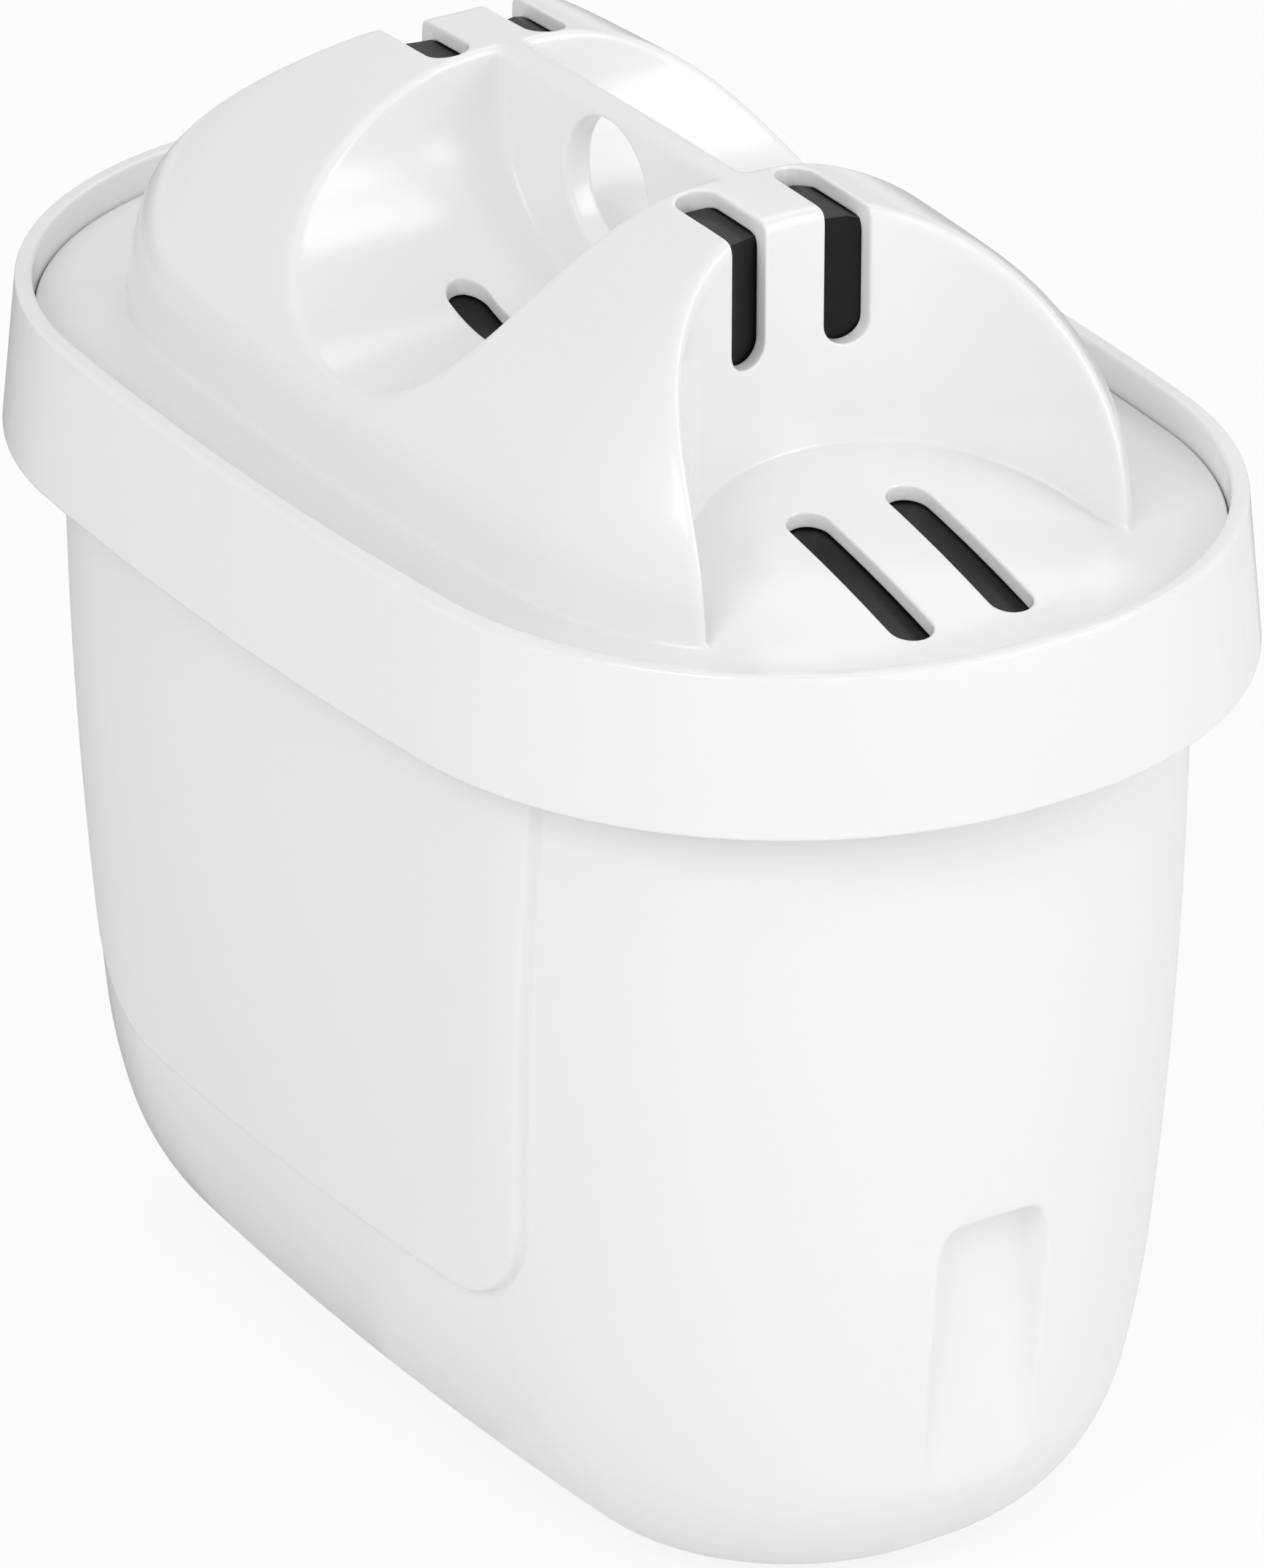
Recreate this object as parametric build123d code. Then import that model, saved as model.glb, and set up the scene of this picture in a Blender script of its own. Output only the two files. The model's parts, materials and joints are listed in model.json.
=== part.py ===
from build123d import *
from math import cos, pi, sin, sqrt
import os

# Outline that every level follows, measured at the collar's rim (all sizes in millimetres)
rim_half_length = 54.0
rim_half_width = 33.07
end_flat = 1.24
side_bow = 0.95

# Wall thickness of the two mouldings
cup_wall = 1.3
lid_wall = 1.3
base_thickness = 1.6

# Cup: upright below the collar, drawn in towards a rounded bottom
rim_height = 79.5
cup_inset = 3.75
upright_height = rim_height - 19.5
wall_bow_radius = 400.0
end_round_height = 12.2
end_round_depth = 11.6
end_round_fullness = 2.09
side_round_height = 20.7
side_round_depth = 10.3
side_round_fullness = 1.74

# Collar: a turned-down skirt round the cup's mouth, with a ledge that carries the lid
collar_height = 11.9
collar_flare = 1.21
collar_wall = 1.3
ledge_height = rim_height - 3.9
ledge_thickness = 1.4
collar_edge = 0.35

# Raised pad on each long side
pad_rise = 1.05
pad_half_width = rim_half_length - 21.4
pad_taper = 4.1
pad_bottom = 22.5
pad_corner = 7.5
pad_edge = 0.25

# Recess at each rounded end, with an upright floor
recess_floor = rim_half_length - 7.0
recess_half_width = 3.7
recess_spread = 0.9
recess_top = 31.3
recess_corner = 1.6
recess_slope = 31.0

# Outlet: a shallow pocket under the base with a row of slots through it
outlet_half_length = rim_half_length - 25.0
outlet_half_width = rim_half_width - 22.57
outlet_pocket = 0.6
outlet_slots = 9
outlet_pitch = 6.0
outlet_slot_width = 2.0
outlet_slot_length = 15.0

# Lid: an edge plate in the collar and a vaulted body above it
lid_gap = 0.12
plate_rise = 0.2
body_inset = 7.8
body_half_width = rim_half_width - body_inset
plinth_height = ledge_height + 4.4
crown_height = ledge_height + 24.6
crown_radius = 560.0
crown_cut = 0.4
crown_spare = 0.1
vault_radius = body_half_width + 1.33
vault_centre = crown_height + crown_cut - vault_radius

# End bays: upright round walls cut into both ends of the body
bay_radius = body_half_width - 7.67
bay_centre = rim_half_length - body_inset - 6.1
bay_wall = bay_centre - bay_radius
bay_edge = 0.8
deck_crest = ledge_height + 6.8
deck_top_x = bay_wall - 14.1
deck_radius = 130.0
deck_fullness = 3.0
deck_front = bay_wall + 27.5
deck_shoulder = 1.0
deck_edge = 0.3

# Finger scoops on both sides of a web with a round hole
scoop_radius = bay_wall - 8.3
scoop_centre = crown_height - 1.7
scoop_edge = 0.6
web_thickness = 2.2
web_hole_radius = 5.3
web_hole_height = crown_height - 6.3

# Inlet slots
slot_width = 3.3
top_slot_spacing = 4.15
top_slot_start = scoop_radius + 0.8
top_slot_foot = crown_height - 11.0
deck_slot_spacing = 4.2
deck_slot_start = bay_wall + 6.8
deck_slot_length = 15.7
scoop_slot_spacing = 9.2
scoop_slot_length = 14.4

# Pieces inside
screen_thickness = 0.5
screen_clearance = 0.1
flange_inset = cup_inset + cup_wall + screen_clearance
media_clearance = 0.1
media_top = 42.0

# Length by which a cutter passes the face that it opens
clear = 5.0


def oval(end_inset, side_inset, height):
    """Face at a height: the rim outline drawn in at its ends and sides."""
    length = rim_half_length - end_inset
    width = rim_half_width - side_inset
    corner = width - end_flat - side_bow
    centre = length - corner
    crest = width - end_flat
    side = (centre**2 + crest**2 - corner**2) / (2 * side_bow)
    toward = Vector(centre, end_flat + side - width).normalized()
    joint = Vector(centre, end_flat) + toward * corner
    middle = (toward + Vector(1, 0)).normalized()
    bend = Vector(centre, end_flat) + middle * corner
    end = Line((length, -end_flat), (length, end_flat))
    first = ThreePointArc((length, end_flat), bend, joint)
    flank = ThreePointArc(joint, (0, width), (-joint.X, joint.Y))
    second = ThreePointArc((-joint.X, joint.Y), (-bend.X, bend.Y), (-length, end_flat))
    half = [end, first, flank, second]
    other = [edge.rotate(Axis.Z, 180) for edge in half]
    return Pos(0, 0, height) * make_face(Curve() + half + other)


def level_oval(inset, height):
    """Face at a height with the same inset all round."""
    return oval(inset, inset, height)


def prism(inset, low, high):
    """Straight block with the outline's shape."""
    return extrude(level_oval(inset, low), amount=high - low, dir=(0, 0, 1))


def bottom_pull(height, tall, deep, fullness, depth):
    """How far the bottom rounding pulls the wall in at a height."""
    share = max(0.0, (tall - height) / (tall - depth))
    return (deep - depth) * (1 - (1 - min(share, 1.0)**fullness)**(1 / fullness))


def cup_section(height, depth):
    """Section of the cup at a height, a depth below its outer face."""
    drop = max(upright_height - height, 0.0)
    inset = cup_inset + drop**2 / (2 * wall_bow_radius) + depth
    ends = bottom_pull(height, end_round_height, end_round_depth, end_round_fullness, depth)
    sides = bottom_pull(height, side_round_height, side_round_depth, side_round_fullness, depth)
    return oval(inset + ends, inset + sides, height)


def cup_form(depth, bottom, top):
    """Cup without its collar, a depth below its outer face, from its base to a height."""
    round_count = 9
    wall_count = 6
    rounding = side_round_height - bottom
    rise = upright_height - side_round_height
    heights = [side_round_height - rounding * cos(pi / 2 * i / round_count) for i in range(round_count)]
    heights += [side_round_height + rise * i / wall_count for i in range(wall_count + 1)]
    drawn = loft([cup_section(height, depth) for height in heights])
    return drawn + prism(cup_inset + depth, upright_height, top)


def side_pads(top):
    """Two raised pads, open at the top, that follow the long sides."""
    rise = upright_height - side_round_height
    heights = [side_round_height + rise * i / 3 for i in range(4)]
    grown = loft([cup_section(height, -pad_rise) for height in heights])
    grown += prism(cup_inset - pad_rise, upright_height, top)
    foot = pad_half_width - pad_taper
    corners = [(-pad_half_width, top), (-foot, pad_bottom), (foot, pad_bottom), (pad_half_width, top)]
    outline = Plane.XZ * make_face(Polyline(*corners, close=True))
    lower = outline.vertices().group_by(Axis.Z)[0]
    outline = fillet(lower, pad_corner)
    pads = grown & extrude(outline, amount=rim_half_width, both=True)
    sides = [face for face in pads.faces() if face.normal_at().Z < 0.5 and abs(face.normal_at().Y) < 0.5]
    rim = [edge for face in sides for edge in face.edges() if (edge @ 0).Y * (edge @ 1).Y > 0]
    return fillet(rim, pad_edge)


def end_recess(depth):
    """Cutter for the recess at the +X end, grown by a depth for the inner wall."""
    width = recess_half_width + depth
    top = recess_top + depth
    foot = width + recess_spread
    corners = [(-foot, -cup_wall), (foot, -cup_wall), (width, top), (-width, top)]
    outline = make_face(Polyline(*corners, close=True))
    outline = fillet(outline.vertices().group_by(Axis.Y)[-1], recess_corner + depth)
    floor = Plane(origin=(recess_floor - depth, 0, 0), x_dir=(0, 1, 0), z_dir=(1, 0, 0))
    return extrude(floor * outline, amount=rim_half_length - recess_floor, taper=-recess_slope)


def both_ends(solid):
    """A solid and its copy at the other end."""
    return solid + solid.rotate(Axis.Z, 180)


def slot(centre, length, width, low, high):
    """Upright cutter with rounded ends, long along X."""
    face = Pos(centre[0], centre[1], low) * SlotOverall(length, width)
    return extrude(face, amount=high - low, dir=(0, 0, 1))


def collar():
    """Turned-down skirt, the rim above it and the ledge inside it."""
    skirt_foot = rim_height - collar_height
    ledge_foot = ledge_height - ledge_thickness
    lean = collar_flare / collar_height
    outer = loft([level_oval(-collar_flare, skirt_foot), level_oval(0, rim_height)], ruled=True)
    outer = fillet(outer.edges().group_by(Axis.Z)[0] + outer.edges().group_by(Axis.Z)[-1], collar_edge)
    low_inset = collar_wall - collar_flare - lean
    high_inset = collar_wall - lean * (rim_height - ledge_foot)
    channel = loft([level_oval(low_inset, skirt_foot - 1), level_oval(high_inset, ledge_foot)], ruled=True)
    pocket = prism(collar_wall, ledge_height, rim_height + clear)
    return outer - channel - pocket


def make_cup():
    """Cup moulding with collar, side pads, end recesses and outlet slots."""
    body = cup_form(0, 0, ledge_height) + side_pads(ledge_height) + collar()
    cavity = cup_form(cup_wall, base_thickness, ledge_height + clear)
    cavity -= both_ends(end_recess(cup_wall))
    cup = body - cavity - both_ends(end_recess(0))
    pocket_face = RectangleRounded(2 * outlet_half_length, 2 * outlet_half_width, outlet_half_width - 1)
    cup -= extrude(pocket_face, amount=outlet_pocket, dir=(0, 0, 1))
    first = -(outlet_slots - 1) * outlet_pitch / 2
    for i in range(outlet_slots):
        opening = slot((0, 0), outlet_slot_length, outlet_slot_width, 0, base_thickness + clear)
        cup -= Pos(first + i * outlet_pitch, 0, 0) * opening.rotate(Axis.Z, 90)
    return cup


def vault(depth, foot):
    """Body of the lid before its cut-outs, a depth below its outer face."""
    radius = vault_radius - depth
    spread = sqrt(vault_radius**2 - (plinth_height - vault_centre)**2)
    rise = crown_height - depth + crown_spare - plinth_height
    level_count = 8
    sections = []
    for i in range(level_count + 1):
        height = plinth_height + rise * sin(pi / 2 * i / level_count)
        reach = sqrt(radius**2 - (height - vault_centre)**2)
        sections.append(level_oval(body_inset + spread - reach, height))
    plinth = prism(body_inset + depth, foot, plinth_height)
    crown = Pos(0, 0, crown_height - crown_radius) * Cylinder(
        crown_radius - depth, 2 * rim_half_width, rotation=(90, 0, 0))
    return plinth + (loft(sections) & crown)


def edges_where(form, test):
    """Edges of a form whose whole length passes a test."""
    return [edge for edge in form.edges() if all(test(edge @ share) for share in (0.1, 0.5, 0.9))]


def on_bay(point):
    """Whether a point lies on the wall of an end bay."""
    away = sqrt(max(bay_centre - abs(point.X), 0)**2 + point.Y**2)
    return abs(away - bay_radius) < 0.01


def on_scoop_rim(point):
    """Whether a point lies on the wall of a scoop, off the web and off the seam at the axis."""
    away = sqrt(point.X**2 + min(point.Z - scoop_centre, 0)**2)
    off_web = abs(point.Y) > web_thickness / 2 + 0.01
    off_seam = abs(point.Z - scoop_centre) > 0.01
    return abs(away - scoop_radius) < 0.01 and off_web and off_seam


def end_bay(depth, floor):
    """Cutter for the bay at the +X end, grown by a depth."""
    radius = bay_radius + depth
    tall = crown_height - floor + clear
    low = (Align.CENTER, Align.CENTER, Align.MIN)
    round_part = Pos(bay_centre, 0, floor) * Cylinder(radius, tall, align=low)
    open_part = Pos(bay_centre, 0, floor) * Box(
        rim_half_length, 2 * radius, tall, align=(Align.MIN, Align.CENTER, Align.MIN))
    return round_part + open_part


def deck(depth):
    """Domed floor of the bay at the +X end, a depth below its outer face."""
    deck_base = ledge_height - lid_wall
    start = bay_wall - 2 * lid_wall
    arch_count = 4
    point_count = 6
    sections = []
    for i in range(arch_count + 1):
        x = start + (deck_front - start) * i / arch_count
        drop = deck_radius - sqrt(deck_radius**2 - (x - deck_top_x)**2)
        top = deck_crest - drop - depth
        beyond = max(x - bay_centre, 0)
        width = sqrt(bay_radius**2 - beyond**2) + deck_shoulder - depth
        tall = max(top - deck_base, deck_edge)
        angles = [pi / 2 * k / point_count for k in range(point_count + 1)]
        curve = [(width * cos(a)**(2 / deck_fullness), tall * sin(a)**(2 / deck_fullness)) for a in angles]
        mirrored = [(-y, z) for y, z in reversed(curve[:-1])]
        arch = Spline(*(curve + mirrored))
        base = Line((-width, 0), (width, 0))
        plane = Plane(origin=(x, 0, deck_base), x_dir=(0, 1, 0), z_dir=(1, 0, 0))
        sections.append(plane * make_face(Curve() + [arch, base]))
    return loft(sections)


def scoop(depth, inner_face):
    """Cutter for both finger scoops, grown by a depth, outside an inner face at each side."""
    radius = scoop_radius + depth
    reach = rim_half_width - inner_face
    parts = Part()
    for side in (1, -1):
        middle = side * (inner_face + reach / 2)
        bowl = Pos(0, middle, scoop_centre) * Cylinder(radius, reach, rotation=(90, 0, 0))
        mouth = Pos(0, middle, scoop_centre) * Box(
            2 * radius, reach, clear, align=(Align.CENTER, Align.CENTER, Align.MIN))
        parts += bowl + mouth
    return parts


def lid_form(depth, foot):
    """Raised part of the lid, a depth below its outer face, down to a foot level."""
    form = vault(depth, foot) - both_ends(end_bay(depth, foot - 1))
    if depth == 0:
        form = fillet(edges_where(form, on_bay), bay_edge)
    form += both_ends(deck(depth)) & prism(flange_inset + depth, foot, crown_height)
    if depth > 0:
        return form - scoop(depth, 0)
    form -= scoop(0, web_thickness / 2)
    return fillet(edges_where(form, on_scoop_rim), scoop_edge)


def inlet_slots():
    """All slot cutters of the lid."""
    cutters = Part()
    for side in (1, -1):
        y = side * top_slot_spacing
        top_length = 2 * (bay_wall - top_slot_start)
        top_leg = slot((top_slot_start + top_length / 2, y), top_length, slot_width,
                       crown_height - 2 * lid_wall, crown_height + 1)
        leg_height = 2 * (crown_height - top_slot_foot)
        face = Plane(origin=(bay_wall - 2 * lid_wall, y, top_slot_foot + leg_height / 2),
                     x_dir=(0, 0, 1), z_dir=(1, 0, 0)) * SlotOverall(leg_height, slot_width)
        wall_leg = extrude(face, amount=4 * lid_wall)
        deck_leg = slot((deck_slot_start + deck_slot_length / 2, side * deck_slot_spacing),
                        deck_slot_length, slot_width, ledge_height - 1, deck_crest)
        cutters += both_ends(top_leg + wall_leg + deck_leg)
        cutters += slot((0, side * scoop_slot_spacing), scoop_slot_length, slot_width,
                        scoop_centre - scoop_radius - 2 * lid_wall, scoop_centre - scoop_radius / 2)
    return cutters


def make_lid():
    """Lid moulding: edge plate, vaulted shell, web with its hole, and slots."""
    edge = collar_wall + lid_gap
    plate_top = ledge_height + lid_wall
    plate = prism(edge, ledge_height, plate_top)
    plate += loft([level_oval(edge + 0.6, plate_top), level_oval(body_inset, plate_top + plate_rise)],
                  ruled=True)
    lid = plate + lid_form(0, ledge_height)
    lid -= lid_form(lid_wall, ledge_height - 1)
    lid -= inlet_slots()
    hole = Pos(0, 0, web_hole_height) * Cylinder(
        web_hole_radius, 3 * web_thickness, rotation=(90, 0, 0))
    return lid - hole


def make_inlet_screen():
    """Fine screen that lines the inside of the lid, with a flange under its plate."""
    outer = lid_wall + screen_clearance
    inner = outer + screen_thickness
    flange = prism(flange_inset, ledge_height - screen_thickness, ledge_height)
    screen = flange + lid_form(outer, ledge_height - screen_thickness)
    return screen - lid_form(inner, ledge_height - 2 * screen_thickness)


def make_outlet_screen():
    """Flat screen on the cup's floor, over the outlet slots."""
    face = RectangleRounded(2 * outlet_half_length, 2 * outlet_half_width, outlet_half_width - 1)
    return Pos(0, 0, base_thickness) * extrude(face, amount=screen_thickness, dir=(0, 0, 1))


def make_media_bed():
    """Bed of filter granules that fills the cup over the outlet screen."""
    bottom = base_thickness + screen_thickness
    bed = cup_form(cup_wall + media_clearance, bottom, ledge_height)
    bed &= prism(0, bottom, media_top)
    return bed - both_ends(end_recess(cup_wall + media_clearance))


os.makedirs("parts", exist_ok=True)
pieces = {
    "cup": make_cup(),
    "lid": make_lid(),
    "inlet_screen": make_inlet_screen(),
    "media_bed": make_media_bed(),
    "outlet_screen": make_outlet_screen(),
}
for name, piece in pieces.items():
    export_step(piece, f"parts/{name}.step")
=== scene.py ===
"""Looks of an oval drop-in water filter cartridge: glossy white cup and lid, dark mesh behind the slots."""

import json
import math

import bmesh
import bpy
import numpy as np
from mathutils import Matrix, Vector

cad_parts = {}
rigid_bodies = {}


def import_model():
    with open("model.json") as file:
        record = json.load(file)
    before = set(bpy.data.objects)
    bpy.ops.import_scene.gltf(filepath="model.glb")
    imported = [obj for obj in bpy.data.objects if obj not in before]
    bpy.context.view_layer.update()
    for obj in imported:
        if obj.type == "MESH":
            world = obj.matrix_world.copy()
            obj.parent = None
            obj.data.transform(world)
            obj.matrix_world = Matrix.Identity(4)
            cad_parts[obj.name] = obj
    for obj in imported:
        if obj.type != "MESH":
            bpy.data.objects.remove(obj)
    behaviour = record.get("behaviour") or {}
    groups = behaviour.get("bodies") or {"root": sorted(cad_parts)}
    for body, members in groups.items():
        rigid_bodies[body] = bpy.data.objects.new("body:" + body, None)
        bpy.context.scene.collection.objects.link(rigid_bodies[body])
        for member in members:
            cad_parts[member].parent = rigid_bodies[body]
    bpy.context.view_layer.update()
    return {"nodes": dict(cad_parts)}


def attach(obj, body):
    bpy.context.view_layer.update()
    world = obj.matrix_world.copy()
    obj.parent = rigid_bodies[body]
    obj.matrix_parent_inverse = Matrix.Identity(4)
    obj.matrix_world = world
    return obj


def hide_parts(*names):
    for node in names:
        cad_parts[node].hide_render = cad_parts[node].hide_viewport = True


bl_info = {
    "name": "Filter Cartridge",
    "version": (1, 0, 0),
    "blender": (4, 5, 0),
    "location": "View3D > Sidebar > Cartridge",
    "description": "Builds the looks of an oval water filter cartridge",
    "category": "Add Mesh",
}

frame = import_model()
MM = 0.001

# Voxels that fill a form, in millimetres, the triangles kept of its skin, and the room left round it
CUP_VOXEL = 0.4
LID_VOXEL = 0.28
CUP_TRIANGLES = 80000
LID_TRIANGLES = 75000
BOX_MARGIN = 1.6

# Steps that move a point onto the form, and the distance in millimetres over which its slope is taken
SEATING_STEPS = 2
SLOPE_STEP = 0.03

# Rounds that halve edges, and the turn in degrees and the length in millimetres past which they do
FINE_ROUNDS = 2
FINE_TURN = 16.0
FINE_LENGTH = 0.12

# Attribute that keeps a form's own normal, and how far a face may turn from it and still be shaded smooth
FACING = "facing"
SHARP_TURN = 20.0

# Exponent of a deck's section, and its least height in millimetres
DECK_FULLNESS = 3.0
DECK_LEAST = 0.3

# Floor, in metres, and the share of it that shows as plain white
FLOOR_REACH = 4.0
FLOOR_WHITE = 0.85

# Cards on the floor, in metres, and the azimuths in degrees between which each lies; each card glows grey
# in reflections alone, a painted reflection that darkens the white edges
CARD_NEAR = 0.014
CARD_REACH = 0.6
CARD_LIFT = 0.0001
CARD_STEPS = 8
CARDS = {
    "pale_card": (30.0, 205.0),
    "grey_card": (205.0, 300.0),
    "side_card": (300.0, 345.0),
    "front_card": (345.0, 390.0),
}

# Soft boxes: azimuth and elevation in degrees, width and height in metres, whether they light the object
SOFT_BOX_DISTANCE = 1.3
SOFT_BOXES = {
    "front_box": (28.0, 36.0, (0.6, 0.6), True),
    "end_box": (138.0, 38.0, (0.6, 0.6), True),
    "side_box": (78.0, 28.0, (0.5, 0.5), True),
    "low_strip": (118.0, 15.0, (0.5, 0.5), True),
    "far_box": (226.0, 46.0, (0.5, 0.5), True),
    "scoop_gloss": (126.0, 28.0, (0.7, 1.0), False),
}

# Finishes: pattern scales per metre, bump distances in metres, roughness from 0 to 1
PLASTIC_IOR = 1.49
PLASTIC_ROUGHNESS = (0.16, 0.24)
WAVE_SCALE = 60.0
WAVE_STRENGTH = 0.02
WAVE_DISTANCE = 0.0002
MESH_ROUGHNESS = 0.3
MESH_SPECULAR = 0.25
THREAD_SCALE = 600.0
THREAD_STRENGTH = 0.03
THREAD_DISTANCE = 0.0001
GRAIN_ROUGHNESS = 0.7
GRAIN_SCALE = 1400.0
GRAIN_DISTANCE = 0.0004

# Camera, in degrees and millimetres
CAMERA_AZIMUTH = 56.8933
CAMERA_ELEVATION = 26.4264
CAMERA_ROLL = 0.1403
CAMERA_PLACE = (595.94, -387.37, 399.38)
CAMERA_LENS = 247.8
CAMERA_SENSOR = 36.0


def millimetres(name, description, default, low=0.0, high=600.0):
    """A length in millimetres for the sidebar."""
    return bpy.props.FloatProperty(
        name=name, description=description + ", in millimetres", default=default, min=low, max=high)


def factor(name, description, default, low=0.0, high=10.0):
    """A plain number for the sidebar."""
    return bpy.props.FloatProperty(
        name=name, description=description, default=default, min=low, max=high)


def shade(name, description, default):
    """A linear colour for the sidebar."""
    return bpy.props.FloatVectorProperty(
        name=name, description=description, subtype="COLOR", size=4, default=default,
        min=0.0, max=1.0)


def watts(name, description, default):
    """A lamp's power for the sidebar."""
    return bpy.props.FloatProperty(
        name=name, description=description, default=default, min=0.0, unit="POWER")


class CartridgeOutline(bpy.types.PropertyGroup):
    """Oval that every level of the cartridge follows."""

    half_length: millimetres("Half Length", "Half the rim's length", 54.0)
    half_width: millimetres("Half Width", "Half the rim's width", 33.07)
    end_flat: millimetres("End Flat", "Half height of the straight stretch at each end", 1.24)
    side_bow: millimetres("Side Bow", "How far the long sides bow out between the corners", 0.95)


class CartridgeCup(bpy.types.PropertyGroup):
    """Sizes of the cup and its collar."""

    rim_height: millimetres("Rim Height", "Height of the collar's rim", 79.5)
    ledge_height: millimetres("Ledge Height", "Height of the ledge under the lid", 75.6)
    ledge_thickness: millimetres("Ledge Thickness", "Thickness of the ledge", 1.4)
    collar_height: millimetres("Collar Height", "Height of the turned-down collar", 11.9)
    collar_flare: millimetres("Collar Flare", "How far the collar's foot stands out", 1.19)
    collar_edge: millimetres("Collar Edge", "Rounding of the collar's edges", 0.5)
    wall: millimetres("Wall", "Thickness of the cup's wall and collar", 1.3)
    base: millimetres("Base", "Thickness of the cup's floor", 1.6)
    inset: millimetres("Inset", "How far the wall stands in from the rim", 3.75)
    upright: millimetres("Upright", "Height above which the wall is upright", 60.0)
    bow_radius: millimetres("Bow Radius", "Radius of the wall's draw-in below that", 400.0)
    end_foot_height: millimetres("End Foot Height", "Height of the foot's curve at the ends", 12.2)
    end_foot_depth: millimetres("End Foot Depth", "Depth of the foot's curve at the ends", 11.6)
    end_foot_fullness: factor("End Foot Fullness", "Exponent of that curve", 2.09, 1.0)
    side_foot_height: millimetres("Side Foot Height", "Height of the foot's curve at the sides", 20.7)
    side_foot_depth: millimetres("Side Foot Depth", "Depth of the foot's curve at the sides", 10.3)
    side_foot_fullness: factor("Side Foot Fullness", "Exponent of that curve", 1.74, 1.0)
    pad_rise: millimetres("Pad Rise", "How far the side pads stand out", 1.05)
    pad_half_width: millimetres("Pad Half Width", "Half width of a pad under the ledge", 32.6)
    pad_foot: millimetres("Pad Foot", "Half width of a pad at its lower edge", 28.5)
    pad_bottom: millimetres("Pad Bottom", "Height of a pad's lower edge", 22.5)
    pad_corner: millimetres("Pad Corner", "Radius of a pad's lower corners", 7.5)
    pad_draft: factor("Pad Draft", "Slope of a pad's rim for each mm of its rise", 0.15)
    pad_edge: millimetres("Pad Edge", "Rounding of a pad's rim", 0.3)
    recess_floor: millimetres("Recess Floor", "Distance of a recess's floor from the middle", 47.0)
    recess_top: millimetres("Recess Top", "Height of a recess's floor at its top", 31.5)
    recess_width: millimetres("Recess Width", "Half width of a recess's floor at its top", 3.6)
    recess_spread: millimetres("Recess Spread", "How much wider the floor's half is at its foot", 1.6)
    recess_draft: factor("Recess Draft", "Rise of a recess's walls for each mm of depth", 0.5)
    recess_corner: millimetres("Recess Corner", "Rounding of a recess's top corners", 3.6)
    recess_fillet: millimetres("Recess Fillet", "Rounding between a recess's walls and floor", 1.8)
    recess_edge: millimetres("Recess Edge", "Rounding of a recess's outer edge", 0.45)
    tray_half_length: millimetres("Tray Half Length", "Half length of the sunk floor underneath", 29.0)
    tray_half_width: millimetres("Tray Half Width", "Half width of the sunk floor underneath", 10.5)
    tray_corner: millimetres("Tray Corner", "Corner radius of the sunk floor underneath", 9.5)
    tray_depth: millimetres("Tray Depth", "Depth of the sunk floor underneath", 0.6)
    outlet_pitch: millimetres("Outlet Pitch", "Distance between the outlet slots", 6.0)
    outlet_width: millimetres("Outlet Width", "Width of the outlet slots", 2.0)
    outlet_half_length: millimetres("Outlet Half Length", "Half length of the outlet slots", 7.5)
    outlet_reach: millimetres("Outlet Reach", "Half length of the row of outlet slots", 27.0)


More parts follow.
